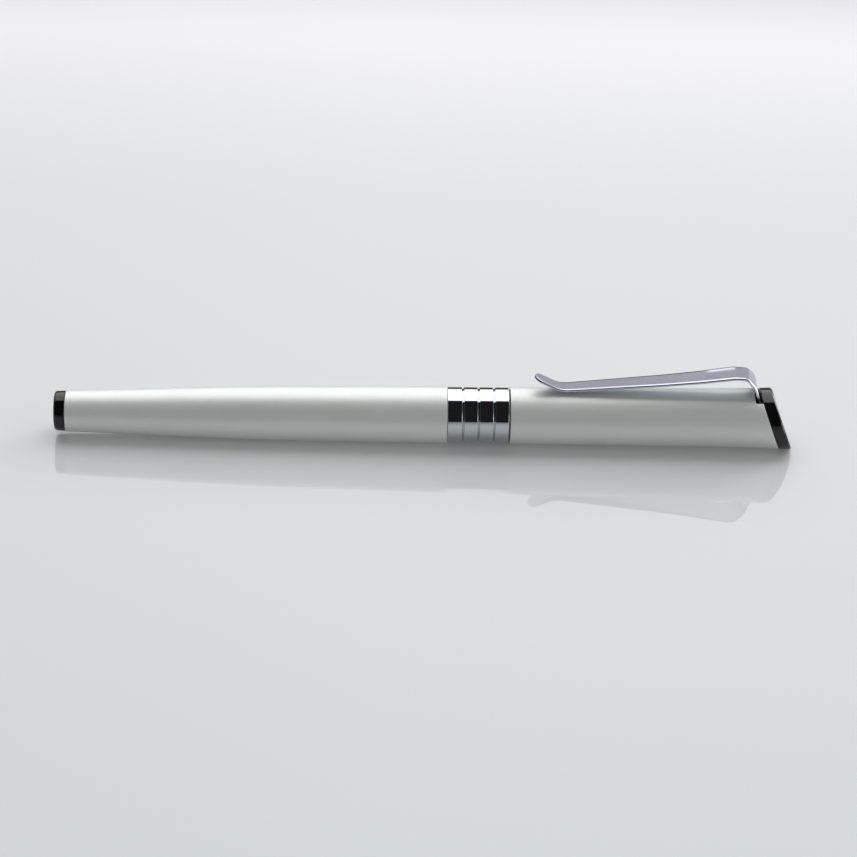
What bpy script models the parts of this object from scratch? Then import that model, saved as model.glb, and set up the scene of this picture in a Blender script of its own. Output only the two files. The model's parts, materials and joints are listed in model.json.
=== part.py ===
"""Capped technical pen with a tubular nib, an ink cartridge and a spring clip.

The pen lies along +X.  The origin is the centre of the barrel's flat end, the
slanted cap end is at +X, and the clip is on the +Z side.  Lengths are metres.
Run with: blender --background --python part.py
"""
import math

import bmesh
import bpy
from mathutils import Matrix, Vector

# ---------------------------------------------------------------- driving sizes
OVERALL_LENGTH = 0.138
BARREL_END_X = 0.00205      # where the barrel tube starts, after the end plug
RING_START_X = 0.07305
RING_END_X = 0.08460
CAP_MOUTH_X = 0.08472
NIB_TIP_X = 0.12200

SLANT = 0.375               # how far the cap's end plane runs back per unit of height
FINIAL_LENGTH = 0.00233     # thickness of the black cap end along the axis
PLUG_RADIUS = 0.00370
BARREL_WALL = 0.00055
CAP_BORE = 0.00482
RING_RADIUS = 0.00520
RING_BANDS = 4

CLIP_THICKNESS = 0.00060
CLIP_TIP_HALF_WIDTH = 0.00165
CLIP_BEND_HALF_WIDTH = 0.00250
NOTCH_HALF_WIDTH = 0.00300

SECTION_REAR_X = 0.06150
SECTION_FRONT_X = 0.10900
SECTION_COLLAR_RADIUS = 0.00455
SECTION_BORE = 0.00295
THREAD_PITCH = 0.00125
THREAD_TURNS = 6
THREAD_ROOT = 0.00365
THREAD_CREST = 0.00395
SNAP_GROOVE_X = 0.08800
SNAP_GROOVE_WIDTH = 0.00200

# ------------------------------------------------------------------- clearances
FIXED_GAP = 0.00010         # between pieces that stay together
RUNNING_GAP = 0.00008       # between pieces that turn or slide
SEAM_GAP = 0.00010          # the fine line between visible pieces

# ------------------------------------------------------------------------- mesh
SHELL_STEPS = 36            # steps around the visible turned pieces
INNER_STEPS = 20            # steps around hidden turned pieces
FINE_STEPS = 12             # steps around the nib's smallest pieces
SHARP_ANGLE = math.radians(32)
MERGE_DISTANCE = 0.000001

# Barrel silhouette: (distance from the flat end, radius), a smooth taper.
BARREL_OUTLINE = [
    (BARREL_END_X, 0.00388),
    (0.0120, 0.00417),
    (0.0270, 0.00473),
    (0.0390, 0.00505),
    (0.0540, 0.00522),
    (RING_START_X, 0.00535),
]

# Cap silhouette: a slow straight taper, then a flare that starts here.
CAP_MOUTH_RADIUS = 0.00532
CAP_TAPER = 0.0052
CAP_FLARE_X = 0.1200
CAP_FLARE = 0.00035         # extra radius 20 mm past the flare's start
FLARE_RUN = 0.0200

FINIAL_FACE_X = OVERALL_LENGTH - SLANT * 0.00588 - 0.00002
CAP_JOINT_X = FINIAL_FACE_X - FINIAL_LENGTH - SEAM_GAP
SLANT_NORMAL = Vector((1.0, 0.0, SLANT)).normalized()

# The clip's outer face, seen from the side: corners (x, z) and their bend radii.
CLIP_CORNERS = [
    (0.0893, 0.00845, 0.0),
    (0.0941, 0.00609, 0.0050),
    (0.1291, 0.00952, 0.0016),
    (0.13125, 0.00580, 0.0026),
    (0.13125, 0.00240, 0.0),
]
CLIP_PIVOT = Vector((0.1310, 0.0, 0.0046))


# -------------------------------------------------------------------- materials
def material(name, color, roughness, metallic=0.0, coat=0.0):
    """A plain Principled material."""
    made = bpy.data.materials.new(name)
    made.use_nodes = True
    shader = made.node_tree.nodes["Principled BSDF"]
    shader.inputs["Base Color"].default_value = (*color, 1.0)
    shader.inputs["Roughness"].default_value = roughness
    shader.inputs["Metallic"].default_value = metallic
    shader.inputs["Coat Weight"].default_value = coat
    return made


def satin_silver(name):
    return material(name, (0.66, 0.68, 0.66), 0.34, 0.85, 0.3)


def polished_chrome(name):
    return material(name, (0.80, 0.81, 0.83), 0.06, 1.0)


def gloss_black(name):
    return material(name, (0.012, 0.012, 0.014), 0.12, 0.0, 0.5)


def black_plastic(name):
    return material(name, (0.03, 0.03, 0.032), 0.42)


def nylon(name):
    return material(name, (0.62, 0.61, 0.57), 0.5)


def stainless(name):
    return material(name, (0.62, 0.62, 0.61), 0.2, 1.0)


def brass(name):
    return material(name, (0.62, 0.47, 0.20), 0.28, 1.0)


def soft_rubber(name):
    return material(name, (0.05, 0.05, 0.05), 0.75)


def clear_plastic(name):
    return material(name, (0.75, 0.78, 0.80), 0.15)


def code_colour(name):
    return material(name, (0.62, 0.10, 0.07), 0.35)


# ---------------------------------------------------------------- curve helpers
def smooth_outline(points, x):
    """Radius at x on a monotone cubic curve through the outline's points."""
    last = len(points) - 1
    chords = [(points[i + 1][1] - points[i][1]) / (points[i + 1][0] - points[i][0])
              for i in range(last)]
    slopes = [chords[0]]
    for before, after in zip(chords, chords[1:]):
        both_rise = before * after > 0
        slopes.append(2 * before * after / (before + after) if both_rise else 0.0)
    slopes.append(chords[-1])
    index = 0
    while index < last - 1 and x > points[index + 1][0]:
        index += 1
    (x0, r0), (x1, r1) = points[index], points[index + 1]
    span = x1 - x0
    t = min(max((x - x0) / span, 0.0), 1.0)
    rise = r0 * (2 * t ** 3 - 3 * t ** 2 + 1) + r1 * (3 * t ** 2 - 2 * t ** 3)
    bend = slopes[index] * (t ** 3 - 2 * t ** 2 + t) + slopes[index + 1] * (t ** 3 - t ** 2)
    return rise + bend * span


def barrel_radius(x):
    return smooth_outline(BARREL_OUTLINE, x)


def cap_radius(x):
    flare = max(x - CAP_FLARE_X, 0.0) / FLARE_RUN
    return CAP_MOUTH_RADIUS + CAP_TAPER * (x - CAP_MOUTH_X) + CAP_FLARE * flare ** 2


def spaced(start, end, count):
    """count + 1 even steps from start to end, both included."""
    return [start + (end - start) * i / count for i in range(count + 1)]


def rounded_path(corners, arc_steps):
    """Points along straight runs joined by arcs, from (x, z, bend radius) corners."""
    points = [Vector((corners[0][0], corners[0][1]))]
    for before, corner, after in zip(corners, corners[1:], corners[2:]):
        here = Vector(corner[:2])
        back = (Vector(before[:2]) - here).normalized()
        ahead = (Vector(after[:2]) - here).normalized()
        half_angle = back.angle(ahead) / 2
        reach = corner[2] / math.tan(half_angle)
        middle = here + (back + ahead).normalized() * corner[2] / math.sin(half_angle)
        first = here + back * reach - middle
        turn = first.angle_signed(here + ahead * reach - middle)
        for i in range(arc_steps + 1):
            points.append(middle + Matrix.Rotation(-turn * i / arc_steps, 2) @ first)
    points.append(Vector(corners[-1][:2]))
    return points


# ----------------------------------------------------------------- mesh helpers
def link(name, mesh, made_material):
    obj = bpy.data.objects.new(name, mesh)
    bpy.context.scene.collection.objects.link(obj)
    if made_material:
        mesh.materials.append(made_material)
    return obj


def finish_mesh(bm, name, made_material):
    """Turn a bmesh into an object with outward faces and smooth round sides."""
    bmesh.ops.recalc_face_normals(bm, faces=bm.faces)
    mesh = bpy.data.meshes.new(name)
    bm.to_mesh(mesh)
    bm.free()
    mesh.shade_smooth()
    mesh.set_sharp_from_angle(angle=SHARP_ANGLE)
    return link(name, mesh, made_material)


def spun(outline, steps, hollow):
    """A bmesh of an (x, radius) outline spun round the pen's axis."""
    bm = bmesh.new()
    verts = [bm.verts.new((x, 0.0, radius)) for x, radius in outline]
    pairs = list(zip(verts, verts[1:]))
    if hollow:
        pairs.append((verts[-1], verts[0]))
    edges = [bm.edges.new(pair) for pair in pairs]
    bmesh.ops.spin(bm, geom=verts + edges, cent=(0, 0, 0), axis=(1, 0, 0),
                   angle=2 * math.pi, steps=steps, use_merge=True)
    bmesh.ops.remove_doubles(bm, verts=bm.verts, dist=MERGE_DISTANCE)
    return bm


def turned(name, outline, made_material, steps=INNER_STEPS, hollow=True):
    """A turned piece: hollow outlines are closed loops, solid ones end on the axis."""
    return finish_mesh(spun(outline, steps, hollow), name, made_material)


def tube(name, x0, x1, bore, radius, made_material, steps=INNER_STEPS, chamfer=0.00015):
    """A plain sleeve with chamfered outer edges."""
    outline = [
        (x0, bore),
        (x0, radius - chamfer),
        (x0 + chamfer, radius),
        (x1 - chamfer, radius),
        (x1, radius - chamfer),
        (x1, bore),
    ]
    return turned(name, outline, made_material, steps)


def box_mesh(bm, low, high):
    """Add a box between two corners to a bmesh."""
    low = Vector(low)
    high = Vector(high)
    size = high - low
    place = Matrix.Translation((low + high) / 2) @ Matrix.Diagonal((*size, 1.0))
    bmesh.ops.create_cube(bm, size=1.0, matrix=place)


def cut_slanted(bm, axis_x, keep_front):
    """Cut a spun bmesh on the cap's slanted plane and return the rim's edges."""
    geom = bm.verts[:] + bm.edges[:] + bm.faces[:]
    cut = bmesh.ops.bisect_plane(bm, geom=geom, plane_co=(axis_x, 0, 0), plane_no=SLANT_NORMAL,
                                 clear_outer=not keep_front, clear_inner=keep_front)
    return [item for item in cut["geom_cut"] if isinstance(item, bmesh.types.BMEdge)]


def cut_away(target, name, low, high):
    """Cut a box out of an object with an exact Boolean; the cutter stays as a guide."""
    bm = bmesh.new()
    box_mesh(bm, low, high)
    cutter = finish_mesh(bm, name, None)
    cutter.hide_render = True
    cutter.display_type = "WIRE"
    modifier = target.modifiers.new("cut_" + name, "BOOLEAN")
    modifier.operation = "DIFFERENCE"
    modifier.solver = "EXACT"
    modifier.object = cutter
    return cutter


def carrier(name, location, parent=None):
    """An empty on a joint's axis that carries one moving body."""
    empty = bpy.data.objects.new(name, None)
    empty.empty_display_size = 0.004
    bpy.context.scene.collection.objects.link(empty)
    empty["world_place"] = tuple(location)
    origin = Vector(parent["world_place"]) if parent else Vector()
    empty.parent = parent
    empty.location = Vector(location) - origin
    return empty


def hang(empty, *objects):
    """Parent objects, modelled in place, to an empty without moving them."""
    origin = Vector(empty["world_place"])
    for obj in objects:
        obj.data.transform(Matrix.Translation(-origin))
        obj.parent = empty


# ------------------------------------------------------------------ barrel group
def make_barrel_tube():
    outer = [(x, barrel_radius(x)) for x in spaced(0.0060, 0.0660, 8)]
    mouth_x = RING_START_X - SEAM_GAP
    mouth = barrel_radius(mouth_x)
    end = barrel_radius(BARREL_END_X)
    edge = 0.00012
    bore = [(x, barrel_radius(x) - BARREL_WALL) for x in spaced(0.0600, 0.0120, 3)]
    outline = [(BARREL_END_X, end - BARREL_WALL), (BARREL_END_X, end - edge)]
    outline += [(BARREL_END_X + edge, end)]
    outline += outer
    outline += [(mouth_x - edge, mouth), (mouth_x, mouth - edge), (mouth_x, mouth - BARREL_WALL)]
    outline += bore
    return turned("barrel_tube", outline, satin_silver("barrel_tube_satin"), SHELL_STEPS)


def make_barrel_end_plug():
    """Flat black end cap whose spigot is pressed into the barrel."""
    edge = 0.00028
    head_end = BARREL_END_X - SEAM_GAP
    spigot = barrel_radius(BARREL_END_X) - BARREL_WALL - FIXED_GAP
    spigot_end = 0.0080
    outline = [
        (0.0, 0.0),
        (0.0, PLUG_RADIUS - edge),
        (edge / 3, PLUG_RADIUS - edge / 3),
        (edge, PLUG_RADIUS),
        (head_end, PLUG_RADIUS + 0.00006),
        (head_end, spigot),
        (spigot_end - edge, spigot),
        (spigot_end, spigot - edge),
        (spigot_end, 0.0),
    ]
    return turned("barrel_end_plug", outline, gloss_black("end_plug_black"), SHELL_STEPS, False)


def make_buffer_pad():
    """Soft pad that stops the cartridge rattling against the end plug."""
    return tube("cartridge_buffer_pad", 0.0082, 0.0097, 0.0010, 0.00325,
                soft_rubber("buffer_rubber"))


def make_thread_bush():
    """Brass insert in the barrel's mouth that takes the section's thread."""
    start = 0.0600
    end = RING_START_X - 2 * SEAM_GAP
    outer = barrel_radius(start) - BARREL_WALL - FIXED_GAP
    minor = THREAD_CREST + 2 * RUNNING_GAP
    groove = 0.00022
    outline = [(start, minor + groove), (start, outer), (end, outer), (end, minor + groove)]
    grooves = 4
    pitch = (end - start) / (grooves * 2 + 1)
    for i in range(grooves):
        crest_x = end - pitch * (2 * i + 1)
        outline += [(crest_x, minor), (crest_x - pitch, minor + groove)]
    outline[-1] = (outline[-1][0], minor)
    return turned("barrel_thread_bush", outline, brass("bush_brass"), INNER_STEPS)


# ------------------------------------------------------------------- centre ring
def make_centre_ring():
    """Chrome ring of four bands parted by V grooves, captive on the section."""
    band = (RING_END_X - RING_START_X) / RING_BANDS
    lead = 0.00006
    chamfer = 0.00030
    groove_depth = 0.00038
    bore = SECTION_COLLAR_RADIUS + FIXED_GAP
    lip_bore = THREAD_CREST + 2 * RUNNING_GAP
    lip_end = RING_START_X + 0.00095
    outline = [(RING_START_X, lip_bore)]
    for i in range(RING_BANDS):
        x0 = RING_START_X + band * i
        x1 = x0 + band
        is_last = i == RING_BANDS - 1
        outline += [(x0, RING_RADIUS - lead), (x0 + lead, RING_RADIUS)]
        outline += [(x1 - chamfer * 2, RING_RADIUS)]
        if is_last:
            outline += [(x1 - chamfer / 2, RING_RADIUS - chamfer / 2), (x1, RING_RADIUS - chamfer)]
        else:
            outline += [(x1 - chamfer, RING_RADIUS - groove_depth), (x1 - lead, RING_RADIUS - groove_depth)]
    outline += [(RING_END_X, bore), (lip_end, bore), (lip_end, lip_bore)]
    return turned("centre_ring", outline, polished_chrome("ring_chrome"), SHELL_STEPS)


# ----------------------------------------------------------------- section group
def make_grip_section():
    """The writing section: rear thread, ring collar, snap groove and finger grip."""
    thread_start = SECTION_REAR_X + 0.0010
    collar_start = RING_START_X + 0.00110
    collar_end = RING_END_X - 0.00010
    shoulder = 0.00430
    groove_end = SNAP_GROOVE_X + SNAP_GROOVE_WIDTH
    groove_radius = 0.00395
    rear_bore = 0.00260
    outline = [(SECTION_REAR_X, rear_bore), (SECTION_REAR_X, THREAD_ROOT - 0.0002)]
    for i in range(THREAD_TURNS):
        root_x = thread_start + THREAD_PITCH * i
        outline += [(root_x, THREAD_ROOT), (root_x + THREAD_PITCH / 2, THREAD_CREST)]
    outline += [(thread_start + THREAD_PITCH * THREAD_TURNS, THREAD_ROOT)]
    outline += [
        (collar_start, THREAD_ROOT),
        (collar_start, SECTION_COLLAR_RADIUS),
        (collar_end, SECTION_COLLAR_RADIUS),
        (collar_end, shoulder),
        (SNAP_GROOVE_X, shoulder),
        (SNAP_GROOVE_X, groove_radius),
        (groove_end, groove_radius),
        (groove_end, shoulder),
        (0.0925, shoulder),
        (0.0970, 0.00400),
        (0.1015, 0.00376),
        (0.1055, 0.00372),
        (0.1078, 0.00392),
        (SECTION_FRONT_X - 0.0003, 0.00400),
        (SECTION_FRONT_X, 0.00385),
        (SECTION_FRONT_X, SECTION_BORE),
        (0.0705, SECTION_BORE),
        (0.0705, rear_bore),
    ]
    return turned("grip_section", outline, black_plastic("section_black"), SHELL_STEPS)


def make_ink_feed():
    """Finned pressure compensator with a rear spigot that enters the cartridge."""
    body_start = 0.0708
    body_end = 0.0965
    radius = SECTION_BORE - FIXED_GAP
    fin_root = 0.00215
    bore = 0.00050
    fins = 6
    outline = [(0.0622, bore), (0.0622, 0.00100), (0.0630, 0.00125), (body_start, 0.00125)]
    seal_start = body_end - 0.0030
    pitch = (seal_start - body_start) / fins
    for i in range(fins):
        x = body_start + pitch * i
        outline += [(x, radius), (x + pitch * 0.45, radius)]
        outline += [(x + pitch * 0.55, fin_root), (x + pitch * 0.90, fin_root)]
    outline += [
        (seal_start, radius),
        (seal_start + 0.0008, radius),
        (seal_start + 0.0008, 0.00235),
        (seal_start + 0.0019, 0.00235),
        (seal_start + 0.0019, radius),
        (body_end, radius),
        (body_end, bore),
    ]
    return turned("ink_feed", outline, black_plastic("feed_black"), INNER_STEPS)


def ring_torus(name, centre_x, radius, thickness, made_material):
    """A round-section ring about the pen's axis."""
    around = 6
    outline = [(centre_x + thickness * math.cos(2 * math.pi * i / around),
                radius + thickness * math.sin(2 * math.pi * i / around)) for i in range(around)]
    return turned(name, outline, made_material, INNER_STEPS)


def make_feed_oring():
    return ring_torus("feed_oring", 0.09485, 0.00264, 0.00022, soft_rubber("oring_rubber"))


def make_line_width_ring():
    """Coloured ring that codes the nib's line width."""
    return tube("line_width_ring", 0.1093, 0.1106, 0.00270, 0.00355,
                code_colour("width_code_red"), SHELL_STEPS)


def make_nib_collar():
    return tube("nib_collar", 0.11075, 0.11220, 0.00270, 0.00342,
                stainless("collar_steel"), SHELL_STEPS)


def make_nib_body():
    """Plastic nib holder with the weight's chamber inside and a conical nose."""
    rear = 0.0970
    skirt_end = SECTION_FRONT_X + 0.0002
    cone_start = 0.11235
    nose = 0.11750
    outline = [
        (rear, 0.00195),
        (rear, SECTION_BORE - FIXED_GAP),
        (skirt_end, SECTION_BORE - FIXED_GAP),
        (skirt_end, 0.00260),
        (cone_start, 0.00260),
        (cone_start, 0.00325),
        (cone_start + 0.0009, 0.00310),
        (0.1155, 0.00165),
        (nose, 0.00090),
        (nose, 0.00050),
        (0.1088, 0.00050),
        (0.1085, 0.00195),
    ]
    return turned("nib_body", outline, black_plastic("nib_body_black"), INNER_STEPS)


def make_nib_tube():
    """Stepped steel drawing tube."""
    bore = 0.00015
    outline = [
        (0.1100, bore),
        (0.1100, 0.00042),
        (0.1193, 0.00042),
        (0.1197, 0.00025),
        (NIB_TIP_X, 0.00025),
        (NIB_TIP_X, bore),
    ]
    return turned("nib_tube", outline, stainless("tube_steel"), FINE_STEPS)


def make_weight_retainer():
    """Plug that keeps the drop weight in the nib body."""
    return tube("weight_retainer", 0.0976, 0.1016, 0.00060, 0.00187,
                nylon("retainer_nylon"))


def make_drop_weight():
    wire_hole = 0.00013
    outline = [
        (0.1032, 0.0),
        (0.1032, 0.00150),
        (0.1035, 0.00178),
        (0.1078, 0.00178),
        (0.1082, 0.00130),
        (0.1082, wire_hole),
        (0.1055, wire_hole),
        (0.1055, 0.0),
    ]
    return turned("drop_weight", outline, brass("weight_brass"), INNER_STEPS, False)


def make_cleaning_wire():
    radius = 0.00007
    outline = [
        (0.1057, 0.0),
        (0.1057, radius),
        (NIB_TIP_X - 0.0001, radius),
        (NIB_TIP_X - 0.0001, 0.0),
    ]
    return turned("cleaning_wire", outline, stainless("wire_steel"), 8, False)


# --------------------------------------------------------------- ink cartridge
def make_cartridge_body():
    """Bottle with a narrow neck that slides on to the feed's spigot."""
    rear = 0.0180
    shoulder_x = 0.0605
    neck_end = 0.0680
    outline = [
        (rear, 0.0),
        (rear, 0.00270),
        (rear + 0.0004, 0.00310),
        (shoulder_x - 0.0010, 0.00310),
        (shoulder_x, 0.00230),
        (neck_end, 0.00230),
        (neck_end, 0.00145),
        (shoulder_x - 0.0002, 0.00145),
        (shoulder_x - 0.0015, 0.00265),
        (rear + 0.0009, 0.00265),
        (rear + 0.0009, 0.0),
    ]
    return turned("cartridge_body", outline, clear_plastic("cartridge_clear"), INNER_STEPS, False)


def make_cartridge_ball():
    """Sealing ball that the spigot pushed out of the neck."""
    bm = bmesh.new()
    bmesh.ops.create_uvsphere(bm, u_segments=12, v_segments=8, radius=0.00150,
                              matrix=Matrix.Translation((0.0440, 0, -0.0009)))
    return finish_mesh(bm, "cartridge_ball", stainless("ball_steel"))


# --------------------------------------------------------------------- cap group
def make_snap_ring():
    """Elastic ring in the section's groove that holds the cap on."""
    inner = 0.00403
    outer = 0.00442
    edge = 0.00015
    start = SNAP_GROOVE_X + FIXED_GAP
    end = SNAP_GROOVE_X + SNAP_GROOVE_WIDTH - FIXED_GAP
    return tube("snap_ring", start, end, inner, outer, nylon("snap_nylon"), SHELL_STEPS, edge)


def make_cap_tube():
    """Silver cap shell with a slanted end and a notch for the clip's foot."""
    edge = 0.00010
    outer = [(x, cap_radius(x)) for x in spaced(0.1030, 0.1400, 6)]
    outline = [
        (CAP_MOUTH_X, CAP_BORE),
        (CAP_MOUTH_X, CAP_MOUTH_RADIUS - edge),
        (CAP_MOUTH_X + edge, CAP_MOUTH_RADIUS),
    ]
    outline += outer
    outline += [(0.1400, CAP_BORE)]
    bm = spun(outline, SHELL_STEPS, True)
    rims = cut_slanted(bm, CAP_JOINT_X, False)
    bmesh.ops.bridge_loops(bm, edges=rims)
    shell = finish_mesh(bm, "cap_tube", satin_silver("cap_tube_satin"))
    notch = cut_away(shell, "clip_notch_cutter",
                     (0.1300, -NOTCH_HALF_WIDTH, 0.0025), (0.1400, NOTCH_HALF_WIDTH, 0.0080))
    return shell, notch


def make_cap_finial():
    """Gloss black cap end: a slanted disc and a spigot slotted for the clip's foot."""
    rim_edge = 0.00030
    spigot_start = 0.1296
    spigot_radius = CAP_BORE - FIXED_GAP
    outline = [(x, cap_radius(x)) for x in spaced(0.1290, 0.1410, 4)]
    bm = spun([(0.1290, 0.0)] + outline + [(0.1410, 0.0)], SHELL_STEPS, False)
    outer_rim = cut_slanted(bm, FINIAL_FACE_X, False)
    bmesh.ops.edgeloop_fill(bm, edges=outer_rim)
    inner_rim = cut_slanted(bm, CAP_JOINT_X + SEAM_GAP, True)
    seat = bmesh.ops.edgeloop_fill(bm, edges=inner_rim)["faces"]
    bmesh.ops.recalc_face_normals(bm, faces=bm.faces)

    bmesh.ops.inset_region(bm, faces=seat, thickness=0.0008, use_even_offset=True)
    ring_verts = seat[0].verts[:]
    for vert in ring_verts:
        scale = spigot_radius / math.hypot(vert.co.y, vert.co.z)
        vert.co.y *= scale
        vert.co.z *= scale
        vert.co.x = CAP_JOINT_X + SEAM_GAP - SLANT * vert.co.z
    pushed = bmesh.ops.extrude_face_region(bm, geom=seat)["geom"]
    for item in pushed:
        if isinstance(item, bmesh.types.BMVert):
            item.co.x = spigot_start
    bmesh.ops.delete(bm, geom=seat, context="FACES_ONLY")

    rim = [edge for edge in bm.edges
           if all(abs(v.co.x + SLANT * v.co.z - FINIAL_FACE_X) < MERGE_DISTANCE for v in edge.verts)]
    bmesh.ops.bevel(bm, geom=rim, offset=rim_edge, segments=2, profile=0.6, affect="EDGES")
    head = finish_mesh(bm, "cap_finial", gloss_black("finial_black"))
    slot = cut_away(head, "finial_slot_cutter", (0.1290, -0.0029, 0.0019), (0.1315, 0.0029, 0.0080))
    return head, slot


def make_cap_liner():
    return tube("cap_liner", 0.0850, 0.1040, 0.00450, 0.00472,
                nylon("liner_nylon"), SHELL_STEPS, 0.00008)


def make_spring_seat():
    """Disc fixed in the cap that the seal spring pushes against."""
    return tube("spring_seat", 0.1273, 0.1286, 0.00120, 0.00470, black_plastic("seat_black"))


def make_seal_spring():
    """Short compression spring behind the seal cup."""
    wire = 0.00022
    radius = 0.00250
    turns = 3
    steps = 14
    start = 0.12520
    end = 0.12700
    points = turns * steps + 1
    curve = bpy.data.curves.new("seal_spring", "CURVE")
    curve.dimensions = "3D"
    curve.bevel_depth = wire
    curve.bevel_resolution = 0
    curve.use_fill_caps = True
    coil = curve.splines.new("POLY")
    coil.points.add(points - 1)
    for i, point in enumerate(coil.points):
        angle = 2 * math.pi * i / steps
        x = start + (end - start) * i / (points - 1)
        point.co = (x, radius * math.cos(angle), radius * math.sin(angle), 1.0)
    return link("seal_spring", curve, stainless("spring_steel"))


def make_seal_cup():
    """Soft cup that closes over the nib so that the ink doesn't dry."""
    mouth = SECTION_FRONT_X + 0.0003
    closed = 0.1237
    inner = 0.00375
    outline = [
        (closed, 0.0),
        (closed, 0.00300),
        (closed - 0.0008, 0.00380),
        (mouth + 0.0030, 0.00415),
        (mouth, 0.00430),
        (mouth, inner),
        (mouth + 0.0030, inner - 0.0001),
        (closed - 0.0030, 0.00300),
        (closed - 0.0009, 0.00200),
        (closed - 0.0009, 0.0),
    ]
    return turned("seal_cup", outline, soft_rubber("seal_rubber"), INNER_STEPS, False)


def make_clip_wedge():
    """Small block in the finial's slot that holds the clip's foot in place."""
    bm = bmesh.new()
    box_mesh(bm, (0.1297, -0.0024, 0.0021), (0.1302, 0.0024, 0.0040))
    return finish_mesh(bm, "clip_wedge", stainless("wedge_steel"))


def clip_half_width(x):
    """Half the clip's width: it widens evenly from the tip to the upper bend."""
    tip_x = CLIP_CORNERS[0][0]
    bend_x = CLIP_CORNERS[2][0]
    t = min((x - tip_x) / (bend_x - tip_x), 1.0)
    return CLIP_TIP_HALF_WIDTH + (CLIP_BEND_HALF_WIDTH - CLIP_TIP_HALF_WIDTH) * t


def make_pocket_clip():
    """Bent spring strip with a turned-up tip and a foot that enters the cap."""
    path = rounded_path(CLIP_CORNERS, 6)
    tip_run = CLIP_TIP_HALF_WIDTH * 0.7
    ahead = (path[1] - path[0]).normalized()
    path[1:1] = [path[0] + ahead * tip_run * share for share in (0.12, 0.45, 1.0)]
    bm = bmesh.new()
    previous = None
    for i, point in enumerate(path):
        before = path[max(i - 1, 0)]
        after = path[min(i + 1, len(path) - 1)]
        along = (after - before).normalized()
        inward = Vector((along.y, -along.x))
        half = clip_half_width(point.x)
        run = (point - path[0]).length
        if run < tip_run:
            half *= 0.55 + 0.45 * math.sqrt(1 - (1 - run / tip_run) ** 2)
        under = point + inward * CLIP_THICKNESS
        corners = [(point, -half), (point, half), (under, half), (under, -half)]
        ring = [bm.verts.new((spot.x, side, spot.y)) for spot, side in corners]
        if previous is None:
            bm.faces.new(ring)
        else:
            for j in range(len(ring)):
                k = (j + 1) % len(ring)
                bm.faces.new((previous[j], previous[k], ring[k], ring[j]))
        previous = ring
    bm.faces.new(previous[::-1])
    clip = finish_mesh(bm, "pocket_clip", polished_chrome("clip_chrome"))
    bevel = clip.modifiers.new("soft_edges", "BEVEL")
    bevel.width = 0.00008
    bevel.segments = 1
    bevel.limit_method = "ANGLE"
    bevel.angle_limit = math.radians(50)
    return clip


# -------------------------------------------------------------------------- pen
def build_pen():
    section_axis = carrier("section_axis", (SECTION_FRONT_X, 0, 0))
    ring_axis = carrier("barrel_turn_axis", (RING_START_X, 0, 0), section_axis)
    barrel_axis = carrier("barrel_draw_axis", (BARREL_END_X, 0, 0), ring_axis)
    cartridge_axis = carrier("cartridge_pull_axis", (0.0680, 0, 0), section_axis)
    weight_axis = carrier("weight_drop_axis", (0.1032, 0, 0), section_axis)
    snap_axis = carrier("cap_turn_axis", (SNAP_GROOVE_X, 0, 0), section_axis)
    cap_axis = carrier("cap_pull_axis", (CAP_MOUTH_X, 0, 0), snap_axis)
    seal_axis = carrier("seal_press_axis", (0.1237, 0, 0), cap_axis)
    clip_axis = carrier("clip_flex_axis", CLIP_PIVOT, cap_axis)

    hang(section_axis, make_grip_section(), make_ink_feed(), make_feed_oring())
    hang(section_axis, make_line_width_ring(), make_nib_collar(), make_nib_body())
    hang(section_axis, make_nib_tube(), make_weight_retainer())
    hang(weight_axis, make_drop_weight(), make_cleaning_wire())
    hang(ring_axis, make_centre_ring())
    hang(barrel_axis, make_barrel_tube(), make_barrel_end_plug())
    hang(barrel_axis, make_buffer_pad(), make_thread_bush())
    hang(cartridge_axis, make_cartridge_body(), make_cartridge_ball())
    hang(snap_axis, make_snap_ring())
    hang(cap_axis, *make_cap_tube(), *make_cap_finial())
    hang(cap_axis, make_cap_liner(), make_spring_seat(), make_seal_spring(), make_clip_wedge())
    hang(seal_axis, make_seal_cup())
    hang(clip_axis, make_pocket_clip())


for old in list(bpy.data.objects):
    bpy.data.objects.remove(old, do_unlink=True)
build_pen()
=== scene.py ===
"""Looks of the capped technical pen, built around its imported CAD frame.

Every piece is a fine mesh with its own procedural finish.  Lengths are metres in
the CAD frame: the pen lies along +X, its flat end is at the origin and the clip
is on the +Z side.  Angles round the pen are measured from +Z towards +Y.
"""

import json
import math

import bmesh
import bpy
from mathutils import Matrix, Vector


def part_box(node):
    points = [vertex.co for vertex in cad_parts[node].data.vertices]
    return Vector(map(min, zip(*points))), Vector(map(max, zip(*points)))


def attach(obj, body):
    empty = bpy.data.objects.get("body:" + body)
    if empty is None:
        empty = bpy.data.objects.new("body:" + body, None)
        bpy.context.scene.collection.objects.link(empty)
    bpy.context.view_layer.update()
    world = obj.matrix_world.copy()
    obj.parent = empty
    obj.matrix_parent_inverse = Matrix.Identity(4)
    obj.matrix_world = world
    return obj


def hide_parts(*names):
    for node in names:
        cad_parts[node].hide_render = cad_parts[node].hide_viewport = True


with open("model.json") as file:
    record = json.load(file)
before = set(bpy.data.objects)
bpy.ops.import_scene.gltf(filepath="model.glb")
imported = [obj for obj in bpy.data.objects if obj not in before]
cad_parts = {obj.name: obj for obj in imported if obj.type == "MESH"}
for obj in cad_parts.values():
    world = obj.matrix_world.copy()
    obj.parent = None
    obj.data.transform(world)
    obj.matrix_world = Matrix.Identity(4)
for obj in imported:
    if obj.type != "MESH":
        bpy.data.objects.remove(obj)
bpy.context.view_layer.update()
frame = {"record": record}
BODY_OF = {node: body for body, nodes in frame["record"]["behaviour"]["bodies"].items()
           for node in nodes}
CAP_MOUTH_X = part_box("cap_tube")[0].x
CAP_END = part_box("cap_tube")[1]

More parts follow.
